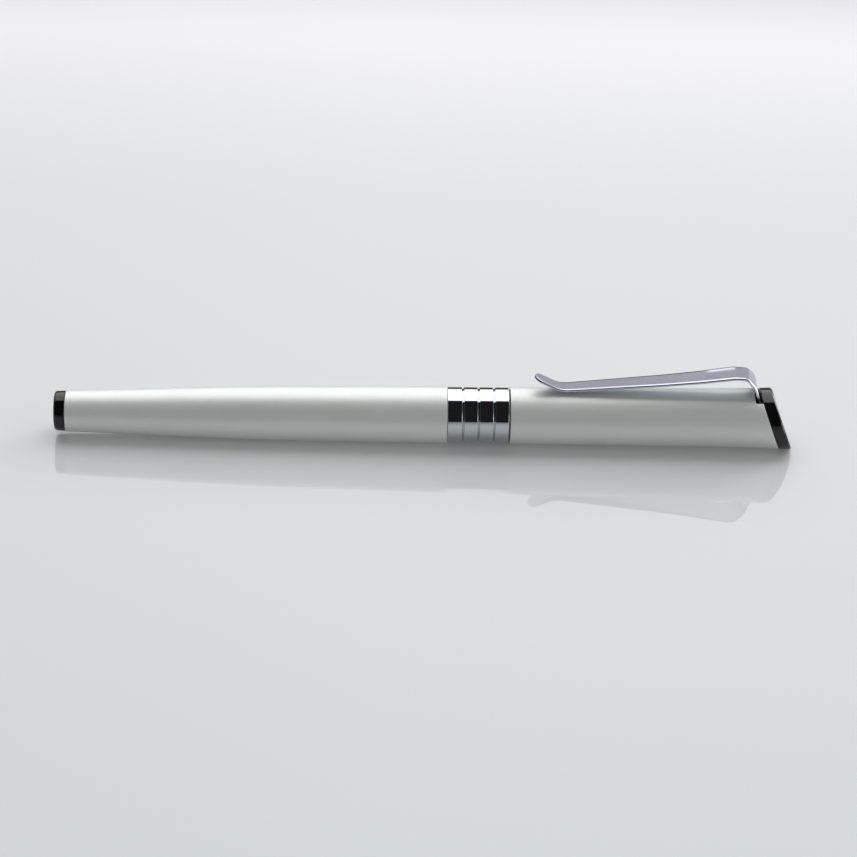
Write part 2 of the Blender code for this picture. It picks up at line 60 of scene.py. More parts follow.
# ---- shape of the shells ----
BARREL_OUTLINE = [  # distance from the flat end, radius
    (0.00205, 0.00388),
    (0.0120, 0.00417),
    (0.0270, 0.00473),
    (0.0390, 0.00505),
    (0.0540, 0.00522),
    (0.07305, 0.00535),
]
SHELL_WALL = 0.00055
CAP_BORE = 0.00482
CAP_TAPER = 0.0052  # rise of the cap's radius per unit of length
CAP_FLARE_X = 0.12
CAP_FLARE = 0.00035  # extra radius one flare run past the flare's start
FLARE_RUN = 0.02
CAP_MOUTH_RADIUS = 0.00532
SLANT = 0.375  # how far the cap's end runs back per unit of height
SEAM_GAP = 0.0001

# ---- clip and its notch ----
CLIP_THICKNESS = 0.00048
CLIP_FOOT_THICKNESS = 0.00062
CLIP_TIP_HALF_WIDTH = 0.0018
CLIP_BEND_HALF_WIDTH = 0.00302
CLIP_FOOT_HALF_WIDTH = 0.0025
CLIP_NEAR_EDGE = 0.00021  # rounding of the edge on the camera's side
CLIP_FAR_EDGE = 0.00012
CLIP_UNDER_EDGE = 0.0001
CLIP_TIP_ROUND = 0.0015  # length over which the tip's plan is rounded
CLIP_CORNERS = [  # outer face seen from the side: x, z, bend radius
    (0.0893, 0.00845, 0.0),
    (0.0941, 0.00609, 0.0050),
    (0.1130, 0.00775, 0.0800),
    (0.1199, 0.00850, 0.0400),
    (0.1264, 0.00940, 0.0080),
    (0.1287, 0.00928, 0.0020),
    (0.13042, 0.00758, 0.0040),
    (0.13148, 0.00430, 0.0030),
    (0.13148, 0.00240, 0.0),
]
CLIP_TIP_X = CLIP_CORNERS[0][0]
CLIP_BEND_X = CLIP_CORNERS[5][0]
CLIP_TWIST = math.radians(3.6)  # the blade's set: its face turns from the camera
CLIP_LEG_TWIST = math.radians(-3.2)  # past the bend it turns the other way
CLIP_LEG_STRETCH = (0.1279, 0.13)  # where the one set gives way to the other
CLIP_SET_FADE = (0.0044, 0.0064)  # heights on the foot where the set fades out
CURL_STRETCH = (0.1203, 0.1222, 0.1268, 0.1282)
CURL_RISE = 0.00006  # lift of the far edge beside the bend
CURL_SHARE = 0.62  # share of the half width that lifts
CURL_POWER = 1.4
NOTCH_HALF_WIDTH = 0.00335
NOTCH = ((0.1302, -NOTCH_HALF_WIDTH, 0.0025), (0.14, NOTCH_HALF_WIDTH, 0.008))
SLOT_HALF_WIDTH = 0.0029  # of the finial's slot for the clip's foot
SLOT = ((0.129, -SLOT_HALF_WIDTH, 0.0019), (0.1315, SLOT_HALF_WIDTH, 0.008))

# ---- threads ----
THREAD_PITCH = 0.00125
THREAD_ROOT = 0.00365
THREAD_CREST = 0.00395
THREAD_PLAY = 0.00016
THREAD_ROWS = 10  # rows of mesh in one pitch

# ---- mesh density ----
SHELL_STEPS = 144
INNER_STEPS = 96
NIB_STEPS = 48
WIRE_STEPS = 16
ARC_STEPS = 5
SHARP_ANGLE = math.radians(34)
FULL_TURN = 2 * math.pi


# ---- curve helpers ----
def spaced(start, end, count):
    """count + 1 even steps from start to end, both included."""
    return [start + (end - start) * i / count for i in range(count + 1)]


def smooth_step(value, low, high):
    t = min(max((value - low) / (high - low), 0.0), 1.0)
    return t * t * (3 - 2 * t)


def barrel_radius(x):
    """Radius on a monotone cubic curve through the barrel's outline."""
    points = BARREL_OUTLINE
    chords = [(r1 - r0) / (x1 - x0) for (x0, r0), (x1, r1) in zip(points, points[1:])]
    slopes = [2 * a * b / (a + b) for a, b in zip(chords, chords[1:])]
    slopes = [chords[0], *slopes, chords[-1]]
    index = sum(x > inner_x for inner_x, _ in points[1:-1])
    (x0, r0), (x1, r1) = points[index:index + 2]
    run = x1 - x0
    t = min(max((x - x0) / run, 0.0), 1.0)
    rise = r0 * (2 * t ** 3 - 3 * t ** 2 + 1) + r1 * (3 * t ** 2 - 2 * t ** 3)
    bend = slopes[index] * (t ** 3 - 2 * t ** 2 + t) + slopes[index + 1] * (t ** 3 - t ** 2)
    return rise + bend * run


def cap_radius(x):
    flare = max(x - CAP_FLARE_X, 0.0) / FLARE_RUN
    return CAP_MOUTH_RADIUS + CAP_TAPER * (x - CAP_MOUTH_X) + CAP_FLARE * flare ** 2


def corner_arc(before, here, after, radius, steps, most=1.0):
    """Points of the arc that rounds a corner, and the arc's reach along both sides.

    The reach stays within a share of either side, and the radius with it."""
    back = before - here
    ahead = after - here
    half_angle = back.angle(ahead) / 2
    reach = min(radius / math.tan(half_angle), most * back.length, most * ahead.length)
    radius = reach * math.tan(half_angle)
    back.normalize()
    ahead.normalize()
    middle = here + (back + ahead).normalized() * radius / math.sin(half_angle)
    first = here + back * reach - middle
    turn = first.angle_signed(here + ahead * reach - middle)
    arc = [middle + Matrix.Rotation(-turn * i / steps, 2) @ first for i in range(steps + 1)]
    return arc, back * reach, ahead * reach


def round_corners(points, closed):
    """(x, radius) points from (x, radius, fillet) corners, with arcs at the fillets.

    A fillet also gets a point on either side, so that shading stays flat beside it."""
    made = []
    count = len(points)
    for i, (x, r, fillet) in enumerate(points):
        here = Vector((x, r))
        if fillet == 0 or not closed and i in (0, count - 1):
            made.append(here)
            continue
        before = Vector(points[i - 1][:2])
        after = Vector(points[(i + 1) % count][:2])
        arc, back, ahead = corner_arc(before, here, after, fillet, ARC_STEPS, 0.45)
        made += [here + back * 1.12, *arc, here + ahead * 1.12]
    return made


def bent_path(corners, arc_steps, run_steps):
    """Points along straight runs joined by arcs, from (x, z, bend radius) corners."""
    points = [Vector(corners[0][:2])]

    def run_to(target):
        start = points[-1]
        for i in range(1, run_steps + 1):
            points.append(start.lerp(target, i / run_steps))

    for before, corner, after in zip(corners, corners[1:], corners[2:]):
        ends = [Vector(place[:2]) for place in (before, corner, after)]
        arc, _, _ = corner_arc(*ends, corner[2], arc_steps)
        run_to(arc[0])
        points.extend(arc[1:])
    run_to(Vector(corners[-1][:2]))
    return points


# ---- mesh helpers ----
def smooth_mesh(mesh):
    mesh.shade_smooth()
    mesh.set_sharp_from_angle(angle=SHARP_ANGLE)
    return mesh


def finish_mesh(bm, name):
    """Turn a bmesh into an object with outward faces and smooth round sides."""
    bmesh.ops.recalc_face_normals(bm, faces=bm.faces)
    mesh = bpy.data.meshes.new(name)
    bm.to_mesh(mesh)
    bm.free()
    obj = bpy.data.objects.new(name, smooth_mesh(mesh))
    bpy.context.scene.collection.objects.link(obj)
    return obj


def heading(points, index):
    """Direction of a path at one of its points."""
    before = points[max(index - 1, 0)]
    after = points[min(index + 1, len(points) - 1)]
    return (after - before).normalized()


def skin(bm, rings):
    """Faces between neighbouring rings of corners, and a face at either end."""
    for ring_a, ring_b in zip(rings, rings[1:]):
        for j in range(len(ring_a)):
            k = (j + 1) % len(ring_a)
            bm.faces.new((ring_a[j], ring_a[k], ring_b[k], ring_b[j]))
    bm.faces.new(rings[0])
    bm.faces.new(rings[-1])


def lathe(name, rows, steps=INNER_STEPS, closed=True, turn=FULL_TURN):
    """A mesh from rows turned about the pen's axis.

    A row is (x, radius), or a function that gives them for an angle.  A closed
    outline makes a hollow piece; an open one starts and ends on the axis.  A turn
    of less than a circle leaves a split with two flat ends."""
    bm = bmesh.new()
    whole = turn == FULL_TURN
    columns = steps if whole else steps + 1
    angles = [turn * j / steps for j in range(columns)]
    grid = []
    for i, row in enumerate(rows):
        if not closed and i in (0, len(rows) - 1):
            x = row(0.0)[0] if callable(row) else row[0]
            grid.append([bm.verts.new((x, 0, 0))])
            continue
        line = []
        for angle in angles:
            x, radius = row(angle) if callable(row) else row
            line.append(bm.verts.new((x, radius * math.sin(angle), radius * math.cos(angle))))
        grid.append(line)
    lines = grid + grid[:1] if closed else grid
    for row_a, row_b in zip(lines, lines[1:]):
        for j in range(steps):
            k = (j + 1) % columns
            corners = [row_a[j % len(row_a)], row_a[k % len(row_a)],
                       row_b[k % len(row_b)], row_b[j % len(row_b)]]
            bm.faces.new(list(dict.fromkeys(corners)))
    if not whole:
        bm.faces.new([line[0] for line in grid])
        bm.faces.new([line[-1] for line in grid])
    return finish_mesh(bm, name)


def turned(name, corners, steps=INNER_STEPS, closed=True, turn=FULL_TURN):
    """A turned piece from (x, radius, fillet) corners."""
    return lathe(name, round_corners(corners, closed), steps, closed, turn)


def sleeve(name, x0, x1, bore, radius, edge, steps=INNER_STEPS, turn=FULL_TURN):
    """A plain tube with rounded edges."""
    corners = [(x0, bore, edge), (x0, radius, edge), (x1, radius, edge), (x1, bore, edge)]
    return turned(name, corners, steps, True, turn)


def rounded_block(name, low, high, edge):
    """A box between two corners with rounded edges."""
    bm = bmesh.new()
    low = Vector(low)
    high = Vector(high)
    place = Matrix.Translation((low + high) / 2) @ Matrix.Diagonal((*(high - low), 1.0))
    bmesh.ops.create_cube(bm, size=1.0, matrix=place)
    bmesh.ops.bevel(bm, geom=bm.edges[:], offset=edge, segments=3, profile=0.5,
                    affect="EDGES", clamp_overlap=True)
    return finish_mesh(bm, name)


def cut_away(target, low, high, edge):
    """Cut a box with rounded edges out of an object."""
    cutter = rounded_block(target.name + "_cutter", low, high, edge)
    modifier = target.modifiers.new("cut", "BOOLEAN")
    modifier.operation = "DIFFERENCE"
    modifier.solver = "EXACT"
    modifier.object = cutter
    view = bpy.context.evaluated_depsgraph_get()
    cut_mesh = bpy.data.meshes.new_from_object(target.evaluated_get(view))
    target.modifiers.clear()
    target.data = smooth_mesh(cut_mesh)
    bpy.data.objects.remove(cutter)


def fit_piece(piece, node, finish, finish_name, *tones):
    """Let a piece stand for a CAD node on its body, in a finish of its own."""
    piece.data.materials.clear()
    piece.data.materials.append(finish(finish_name, *tones))
    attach(piece, BODY_OF[node])
    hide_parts(node)


def span(node):
    """Start, end and largest radius of a CAD node on the pen's axis."""
    low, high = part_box(node)
    return low.x, high.x, high.z


# ---- node graphs ----
class Graph:
    """A node tree with short calls for what the finishes share."""

    def __init__(self, tree):
        self.tree = tree
        self.nodes = tree.nodes
        self.place = self.node("ShaderNodeTexCoord").outputs["Object"]

    def node(self, kind, **inputs):
        """Add a node; inputs are set by name, or linked where given a socket."""
        made = self.nodes.new(kind)
        self.fill(made, inputs)
        return made

    def fill(self, node, inputs):
        for name, value in inputs.items():
            self.put(node.inputs[name.replace("_", " ")], value)

    def put(self, socket, value):
        if isinstance(value, bpy.types.NodeSocket):
            self.tree.links.new(value, socket)
        elif isinstance(value, tuple) and len(socket.default_value) == 4:
            socket.default_value = (*value, 1.0)
        else:
            socket.default_value = value

    def math(self, operation, first, second=0.0):
        made = self.nodes.new("ShaderNodeMath")
        made.operation = operation
        self.put(made.inputs[0], first)
        self.put(made.inputs[1], second)
        return made.outputs[0]

    def times(self, first, second):
        return self.math("MULTIPLY", first, second)

    def plus(self, first, second):
        return self.math("ADD", first, second)

    def vector(self, operation, first, second=(0.0, 0.0, 0.0)):
        made = self.nodes.new("ShaderNodeVectorMath")
        made.operation = operation
        self.put(made.inputs[0], first)
        socket = made.inputs["Scale"] if operation == "SCALE" else made.inputs[1]
        self.put(socket, second)
        return made.outputs[0]

    def remap(self, value, low, high, to_low, to_high, smooth=False):
        made = self.nodes.new("ShaderNodeMapRange")
        made.interpolation_type = "SMOOTHSTEP" if smooth else "LINEAR"
        for socket, number in zip(made.inputs[:5], (value, low, high, to_low, to_high)):
            self.put(socket, number)
        return made.outputs[0]

    def band(self, value, rise, rise_end, fall, fall_end):
        """1 between rise_end and fall, fading to 0 at rise and fall_end."""
        up = self.remap(value, rise, rise_end, 0.0, 1.0, True)
        down = self.remap(value, fall, fall_end, 1.0, 0.0, True)
        return self.times(up, down)

    def stretched(self, x_scale, y_scale, z_scale):
        return self.vector("MULTIPLY", self.place, (x_scale, y_scale, z_scale))

    def noise(self, scale, detail=3.0, place=None):
        made = self.node("ShaderNodeTexNoise", Vector=place or self.place, Scale=scale,
                         Detail=detail)
        return made.outputs["Fac"]

    def mix(self, share, first, second):
        made = self.nodes.new("ShaderNodeMix")
        made.data_type = "RGBA"
        self.put(made.inputs["Factor"], share)
        self.put(made.inputs["A"], first)
        self.put(made.inputs["B"], second)
        return made.outputs["Result"]

    def bump(self, height, distance, normal=None):
        made = self.node("ShaderNodeBump", Height=height, Distance=distance, Strength=1.0)
        if normal:
            self.put(made.inputs["Normal"], normal)
        return made.outputs["Normal"]


class Finish(Graph):
    """The graph of a new material."""

    def __init__(self, name):
        self.material = bpy.data.materials.new(name)
        self.material.use_nodes = True
        super().__init__(self.material.node_tree)

    def shade(self, **inputs):
        """Set or link the main shader's inputs, and give the material."""
        self.fill(self.nodes["Principled BSDF"], inputs)
        return self.material


def smudges(graph, low, high):
    """Roughness that drifts between low and high, like light handling marks."""
    broad = graph.noise(140.0, 2.0)
    fine = graph.noise(900.0, 3.0)
    both = graph.plus(graph.times(broad, 0.7), graph.times(fine, 0.3))
    return graph.remap(both, 0.35, 0.65, low, high)


def edge_share(graph, low, high):
    """0 on flat and hollow places, rising to 1 on sharp outer edges."""
    pointed = graph.node("ShaderNodeNewGeometry").outputs["Pointiness"]
    return graph.remap(pointed, low, high, 0.0, 1.0)


# ---- finishes ----
def satin_silver(name):
    """Pearl silver lacquer over metal: fine flakes under a thin clear coat."""
    flake_size = 0.00011
    flake_tilt = 0.1
    graph = Finish(name)
    flakes = graph.node("ShaderNodeTexVoronoi", Vector=graph.place, Scale=1 / flake_size)
    offset = graph.vector("SUBTRACT", flakes.outputs["Color"], (0.5, 0.5, 0.5))
    tilt = graph.vector("SCALE", offset, flake_tilt)
    face = graph.node("ShaderNodeNewGeometry").outputs["Normal"]
    tilted = graph.vector("NORMALIZE", graph.vector("ADD", face, tilt))
    sparkle = graph.remap(flakes.outputs["Distance"], 0.0, 0.8, 0.0, 1.0)
    pearl = graph.mix(sparkle, (0.74, 0.782, 0.75), (0.705, 0.747, 0.72))
    drift = graph.remap(graph.noise(45.0, 2.0), 0.3, 0.7, 0.0, 0.3)
    peel = graph.bump(graph.noise(650.0, 2.0), 0.0000015)
    return graph.shade(Base_Color=graph.mix(drift, pearl, (0.735, 0.765, 0.75)),
                       Metallic=0.4, Roughness=smudges(graph, 0.44, 0.5), Normal=tilted,
                       Coat_Weight=0.2, Coat_Roughness=0.05, Coat_Normal=peel)


def bright_chrome(name, tone, worn, haze=0.0):
    """Polished plating with faint handling marks and hairline scratches."""
    graph = Finish(name)
    hair = graph.noise(1.0, 2.0, graph.stretched(900.0, 9000.0, 9000.0))
    wear = graph.mix(edge_share(graph, 0.55, 0.7), tone, worn)
    return graph.shade(Base_Color=wear, Metallic=1.0,
                       Roughness=smudges(graph, 0.035 + haze, 0.075 + haze),
                       Normal=graph.bump(hair, 0.00000025))


def gloss_black(name):
    """Polished black moulding: deep gloss, a slight moulding ripple, paler edges."""
    graph = Finish(name)
    ripple = graph.bump(graph.noise(420.0, 2.0), 0.0000025)
    worn = graph.times(edge_share(graph, 0.56, 0.75), 0.35)
    specks = graph.remap(graph.noise(5200.0, 1.0), 0.7, 0.78, 0.0, 0.25)
    tone = graph.mix(worn, (0.0045, 0.0045, 0.005), (0.03, 0.03, 0.032))
    return graph.shade(Base_Color=graph.mix(specks, tone, (0.02, 0.02, 0.022)),
                       Roughness=smudges(graph, 0.03, 0.06), IOR=1.5, Normal=ripple)


def black_plastic(name, low=0.3, high=0.42):
    """Moulded black plastic with a fine matt grain."""
    graph = Finish(name)
    grain = graph.bump(graph.noise(6500.0, 3.0), 0.000006)
    worn = graph.times(edge_share(graph, 0.55, 0.72), 0.5)
    tone = graph.mix(graph.noise(300.0), (0.012, 0.012, 0.013), (0.02, 0.02, 0.021))
    return graph.shade(Base_Color=graph.mix(worn, tone, (0.06, 0.06, 0.062)),
                       Roughness=smudges(graph, low, high), Normal=grain)


def natural_nylon(name):
    """Waxy off-white plastic with slight clouding."""
    graph = Finish(name)
    cloud = graph.mix(graph.noise(500.0), (0.66, 0.64, 0.57), (0.76, 0.75, 0.69))
    grain = graph.bump(graph.noise(4200.0), 0.000004)
    return graph.shade(Base_Color=cloud, Roughness=smudges(graph, 0.36, 0.5), Normal=grain,
                       Subsurface_Weight=0.15, Subsurface_Scale=0.0005)


def turned_metal(name, color, dark, low, high):
    """Machined metal: rings left by the tool and a little tarnish."""
    graph = Finish(name)
    tool_marks = graph.noise(1.0, 2.0, graph.stretched(9000.0, 60.0, 60.0))
    tarnish = graph.remap(graph.noise(380.0, 4.0), 0.4, 0.75, 0.0, 0.7)
    rough = graph.plus(smudges(graph, low, high), graph.remap(tool_marks, 0.0, 1.0, 0.0, 0.06))
    return graph.shade(Base_Color=graph.mix(tarnish, color, dark), Metallic=1.0,
                       Roughness=rough, Normal=graph.bump(tool_marks, 0.0000015))


def stainless(name):
    return turned_metal(name, (0.6, 0.6, 0.59), (0.5, 0.49, 0.47), 0.16, 0.26)


def brass(name):
    return turned_metal(name, (0.72, 0.53, 0.22), (0.55, 0.38, 0.16), 0.2, 0.34)


def seal_rubber(name):
    """Dull dark rubber with a dusty bloom."""
    graph = Finish(name)
    bloom = graph.mix(graph.noise(700.0, 4.0), (0.02, 0.02, 0.021), (0.045, 0.044, 0.043))
    return graph.shade(Base_Color=bloom, Roughness=smudges(graph, 0.62, 0.82),
                       Normal=graph.bump(graph.noise(3800.0), 0.000008))


def clear_plastic(name):
    """Milky translucent bottle plastic."""
    graph = Finish(name)
    milk = graph.mix(graph.noise(260.0), (0.8, 0.83, 0.85), (0.88, 0.89, 0.9))
    return graph.shade(Base_Color=milk, Roughness=smudges(graph, 0.22, 0.34),
                       Transmission_Weight=0.75, IOR=1.45,
                       Normal=graph.bump(graph.noise(900.0), 0.000004))


def width_code_red(name):
    """The coloured plastic that codes a line width."""
    graph = Finish(name)
    tone = graph.mix(graph.noise(420.0), (0.55, 0.035, 0.022), (0.62, 0.055, 0.03))
    return graph.shade(Base_Color=tone, Roughness=smudges(graph, 0.22, 0.34),
                       Normal=graph.bump(graph.noise(5200.0), 0.000003))


def drawing_ink(name):
    """Black ink, seen through the bottle's wall."""
    graph = Finish(name)
    tone = graph.mix(graph.noise(90.0), (0.004, 0.004, 0.007), (0.01, 0.01, 0.016))
    return graph.shade(Base_Color=tone, Roughness=smudges(graph, 0.05, 0.12))


# ---- barrel group ----
def make_barrel():
    """Tapered silver tube with a rolled rear edge and a crisp mouth."""
    start, mouth, _ = span("barrel_tube")
    rear_edge = 0.0002
    mouth_edge = 0.00005
    bore_inset = 0.003
    corners = [
        (start, barrel_radius(start) - SHELL_WALL, 0.0),
        (start, barrel_radius(start), rear_edge),
    ]
    corners += [(x, barrel_radius(x), 0.0) for x in spaced(start + 0.0015, mouth - 0.001, 46)]
    corners += [
        (mouth, barrel_radius(mouth), mouth_edge),
        (mouth, barrel_radius(mouth) - SHELL_WALL, 0.0),
    ]
    corners += [(x, barrel_radius(x) - SHELL_WALL, 0.0)
                for x in spaced(mouth - bore_inset, start + bore_inset, 20)]
    piece = turned("barrel_shell", corners, SHELL_STEPS)
    fit_piece(piece, "barrel_tube", satin_silver, "barrel_silver")


def make_end_plug():
    """Gloss black flat end with a softly rounded rim and a ribbed spigot."""
    start, spigot_end, radius = span("barrel_end_plug")
    head_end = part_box("barrel_tube")[0].x - SEAM_GAP
    taper = 0.0001
    rim = 0.00048
    spigot = barrel_radius(head_end) - SHELL_WALL - SEAM_GAP
    ribs = 3
    rib_height = 0.00006
    rib_slope = 0.0001
    rib_top = 0.0003
    valley = spigot - rib_height
    corners = [
        (start, 0.0, 0.0), (start, radius - taper, rim),
        (head_end, radius, 0.00008), (head_end, valley, 0.00005),
    ]
    for x in spaced(head_end + 0.0012, spigot_end - 0.0016, ribs - 1):
        top = x + rib_slope
        corners += [(x, valley, 0.0), (top, spigot, 0.0)]
        corners += [(top + rib_top, spigot, 0.0), (top + rib_top + rib_slope, valley, 0.0)]
    corners += [(spigot_end, valley, 0.0003), (spigot_end, 0.0, 0.0)]
    piece = turned("barrel_end", corners, SHELL_STEPS, closed=False)
    fit_piece(piece, "barrel_end_plug", gloss_black, "end_plug_black")


def make_plain_sleeves():
    """Buffer pad, line-width ring, nib collar and retainer: tubes with rounded edges."""
    sleeves = [  # piece, bore, edge, steps, then CAD node, finish and its name
        ("buffer_pad", 0.001, 0.0003, INNER_STEPS,
         "cartridge_buffer_pad", seal_rubber, "buffer_rubber"),
        ("width_ring", 0.0027, 0.00022, SHELL_STEPS,
         "line_width_ring", width_code_red, "width_code_red"),
        ("nib_collar_ring", 0.0027, 0.00018, SHELL_STEPS,
         "nib_collar", stainless, "collar_steel"),
        ("retainer_plug", 0.0006, 0.0002, INNER_STEPS,
         "weight_retainer", natural_nylon, "retainer_nylon"),
    ]
    for name, bore, edge, steps, node, finish, finish_name in sleeves:
        start, end, radius = span(node)
        piece = sleeve(name, start, end, bore, radius, edge, steps)
        fit_piece(piece, node, finish, finish_name)


def thread_row(x, start, end, root, crest):
    """A row of a right-hand thread whose depth fades out over its first and last turn."""
    fade = min((x - start) / THREAD_PITCH, (end - x) / THREAD_PITCH, 1.0)

    def row(angle):
        phase = (x / THREAD_PITCH + angle / FULL_TURN) % 1.0
        flank = smooth_step(phase, 0.05, 0.4) - smooth_step(phase, 0.55, 0.9)
        return x, root + (crest - root) * flank * max(fade, 0.0)

    return row


def thread_rows(start, end, root, crest):
    count = round((end - start) / THREAD_PITCH * THREAD_ROWS)
    return [thread_row(x, start, end, root, crest) for x in spaced(start, end, count)]


def make_thread_bush():
    """Brass insert with an internal thread and shallow grooves turned in its outside."""
    start, end, radius = span("barrel_thread_bush")
    minor = THREAD_CREST + THREAD_PLAY
    major = minor + 0.00022
    lead = 0.0003
    bevel = lead / 3
    grooves = 4
    groove_slope = 0.0001
    groove_floor = 0.0004
    floor_radius = radius - 0.0001
    rows = [(start, major), (start, radius - bevel), (start + bevel, radius)]
    for x in spaced(start + 0.002, end - 0.003, grooves - 1):
        foot = x + groove_slope
        rows += [(x, radius), (foot, floor_radius)]
        rows += [(foot + groove_floor, floor_radius), (foot + groove_floor + groove_slope, radius)]
    rows += [(end - bevel, radius), (end, radius - bevel), (end, major)]
    rows += reversed(thread_rows(start + lead, end - lead, major, minor))
    piece = lathe("thread_bush", rows)
    fit_piece(piece, "barrel_thread_bush", brass, "bush_brass")


# ---- centre ring ----
def make_centre_ring():
    """Four polished bands parted by V grooves with rounded lips."""
    start, end, radius = span("centre_ring")
    bands = 4
    band = (end - start) / bands
    groove_half = 0.00023
    groove_depth = 0.0003
    end_groove_depth = 0.00027
    lip = 0.00008
    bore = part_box("grip_section")[1].z + SEAM_GAP
    lip_bore = THREAD_CREST + THREAD_PLAY
    lip_end = start + 0.00095
    corners = [(start, lip_bore, 0.0), (start, radius, 0.00006)]
    for i in range(1, bands):
        x = start + band * i
        corners += [(x - groove_half, radius, lip), (x, radius - groove_depth, 0.00004)]
        corners += [(x + groove_half, radius, lip)]
    corners += [(end - groove_half, radius, lip), (end, radius - end_groove_depth, 0.00003)]
    corners += [(end, bore, 0.0), (lip_end, bore, 0.0), (lip_end, lip_bore, 0.0)]
    piece = turned("ring_bands", corners, SHELL_STEPS)
    fit_piece(piece, "centre_ring", bright_chrome, "ring_chrome",
              (0.62, 0.65, 0.67), (0.68, 0.69, 0.7))


# ---- section group ----
def make_grip():
    """Writing section: right-hand thread, collar, snap groove and a ringed grip."""
    start, end, collar = span("grip_section")
    ring_start, ring_end, _ = span("centre_ring")
    snap_start, snap_end, _ = span("snap_ring")
    snap_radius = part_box("snap_ring")[1].z - 0.00047
    shoulder = 0.0043
    shoulder_end = 0.0925
    grip_start = 0.097
    grip_radius = 0.004
    waist = 0.00372
    waist_end = 0.1065
    groove_start = 0.0984
    groove_pitch = 0.0011
    groove_depth = 0.00012
    grooves = 7
    rear_bore = 0.0026
    bore = 0.00295
    bore_start = 0.0705
    edge = 0.0001
    chamfer = 0.0002
    thread_start = start + 0.0008
    thread_end = thread_start + THREAD_PITCH * 6.6
    rows = [(start, rear_bore), (start, THREAD_ROOT - chamfer), (start + chamfer, THREAD_ROOT)]
    rows += thread_rows(thread_start, thread_end, THREAD_ROOT, THREAD_CREST)
    front = [
        (ring_start + 0.0011, THREAD_ROOT, edge),
        (ring_start + 0.0011, collar, edge),
        (ring_end - SEAM_GAP, collar, edge),
        (ring_end - SEAM_GAP, shoulder, 0.0),
        (snap_start - SEAM_GAP, shoulder, edge),
        (snap_start - SEAM_GAP, snap_radius, 0.0),
        (snap_end + SEAM_GAP, snap_radius, 0.0),
        (snap_end + SEAM_GAP, shoulder, edge),
        (shoulder_end, shoulder, 0.003),
        (grip_start, grip_radius, 0.003),
    ]
    for i in range(grooves):
        x = groove_start + groove_pitch * i
        surface = grip_radius + (waist - grip_radius) * smooth_step(x, grip_start, 0.1045)
        front += [(x, surface, 0.00012), (x + 0.00025, surface - groove_depth, edge)]
        front += [(x + 0.0005, surface, 0.00012)]
    front += [
        (waist_end, waist + 0.00003, 0.001),
        (waist_end + 0.0013, 0.00392, 0.001),
        (end - 0.0003, grip_radius, 0.0002),
        (end, 0.00385, edge),
        (end, bore, 0.0),
        (bore_start, bore, 0.0),
        (bore_start, rear_bore, 0.0),
    ]
    rows += round_corners(front, False)
    piece = lathe("grip_and_thread", rows)
    fit_piece(piece, "grip_section", black_plastic, "section_black", 0.24, 0.36)


def make_feed():
    """Finned compensator; an ink channel crosses the fins along the top."""
    start, end, radius = span("ink_feed")
    bore = 0.0005
    spigot = 0.00125
    body_start = 0.0708
    fin_root = 0.00215
    fins = 16
    seat_start = end - 0.0022
    seat_end = end - 0.0011
    seat_radius = 0.00235
    channel = math.radians(9)
    pitch = (end - 0.003 - body_start) / fins

    def fin_row(x):
        def row(angle):
            from_top = abs((angle + math.pi) % FULL_TURN - math.pi)
            return x, fin_root if from_top < channel else radius
        return row

    rows = [(start, bore), (start, spigot - 0.00025)]
    rows += [(start + 0.0008, spigot), (body_start, spigot)]
    for i in range(fins):
        x = body_start + pitch * i
        rows += [fin_row(x), fin_row(x + pitch * 0.5)]
        rows += [(x + pitch * 0.52, fin_root), (x + pitch * 0.98, fin_root)]
    rows += [(seat_start - 0.0006, radius), (seat_start, radius), (seat_start, seat_radius)]
    rows += [(seat_end, seat_radius), (seat_end, radius), (end, radius), (end, bore)]
    piece = lathe("feed_fins", rows)
    fit_piece(piece, "ink_feed", black_plastic, "feed_black", 0.4, 0.55)


def make_feed_seal():
    low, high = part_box("feed_oring")
    wire = (high.x - low.x) / 2
    middle_x = (low.x + high.x) / 2
    middle_radius = high.z - wire
    around = 18
    angles = [FULL_TURN * i / around for i in range(around)]
    rows = [(middle_x + wire * math.cos(angle), middle_radius + wire * math.sin(angle))
            for angle in angles]
    piece = lathe("feed_seal", rows)
    fit_piece(piece, "feed_oring", seal_rubber, "oring_rubber")


def make_nib_holder():
    """Plastic nib holder: skirt in the section, a conical nose and the weight's chamber."""
    rear, nose, cone = span("nib_body")
    cone_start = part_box("nib_collar")[1].x + 0.00015
    cone_waist = (0.1155, 0.00165)
    skirt = 0.00285
    neck = 0.0026
    neck_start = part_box("line_width_ring")[0].x - 0.0001
    chamber = 0.00195
    chamber_end = 0.1085
    wire_bore = 0.0005
    corners = [
        (rear, chamber, 0.0), (rear, skirt, 0.0002),
        (neck_start, skirt, 0.0), (neck_start, neck, 0.0),
        (cone_start, neck, 0.0), (cone_start, cone, 0.0001),
        (cone_start + 0.0009, cone - 0.00015, 0.001), (*cone_waist, 0.004),
        (nose, 0.0009, 0.00025), (nose, wire_bore, 0.0),
        (chamber_end + 0.0003, wire_bore, 0.0), (chamber_end, chamber, 0.0),
    ]
    piece = turned("nib_holder", corners)
    fit_piece(piece, "nib_body", black_plastic, "nib_holder_black", 0.18, 0.28)


def make_drawing_tube():
    """Stepped steel tube with a rounded, polished tip."""
    start, tip, _ = span("nib_tube")
    bore = 0.00015
    shank = 0.00042
    point = 0.00025
    step_x = tip - 0.0025
    corners = [
        (start, bore, 0.0), (start, shank, 0.00004),
        (step_x - 0.0002, shank, 0.00008), (step_x + 0.0002, point, 0.00006),
        (tip, point, 0.00005), (tip, bore, 0.00002),
    ]
    piece = turned("drawing_tube", corners, NIB_STEPS)
    fit_piece(piece, "nib_tube", stainless, "tube_steel")


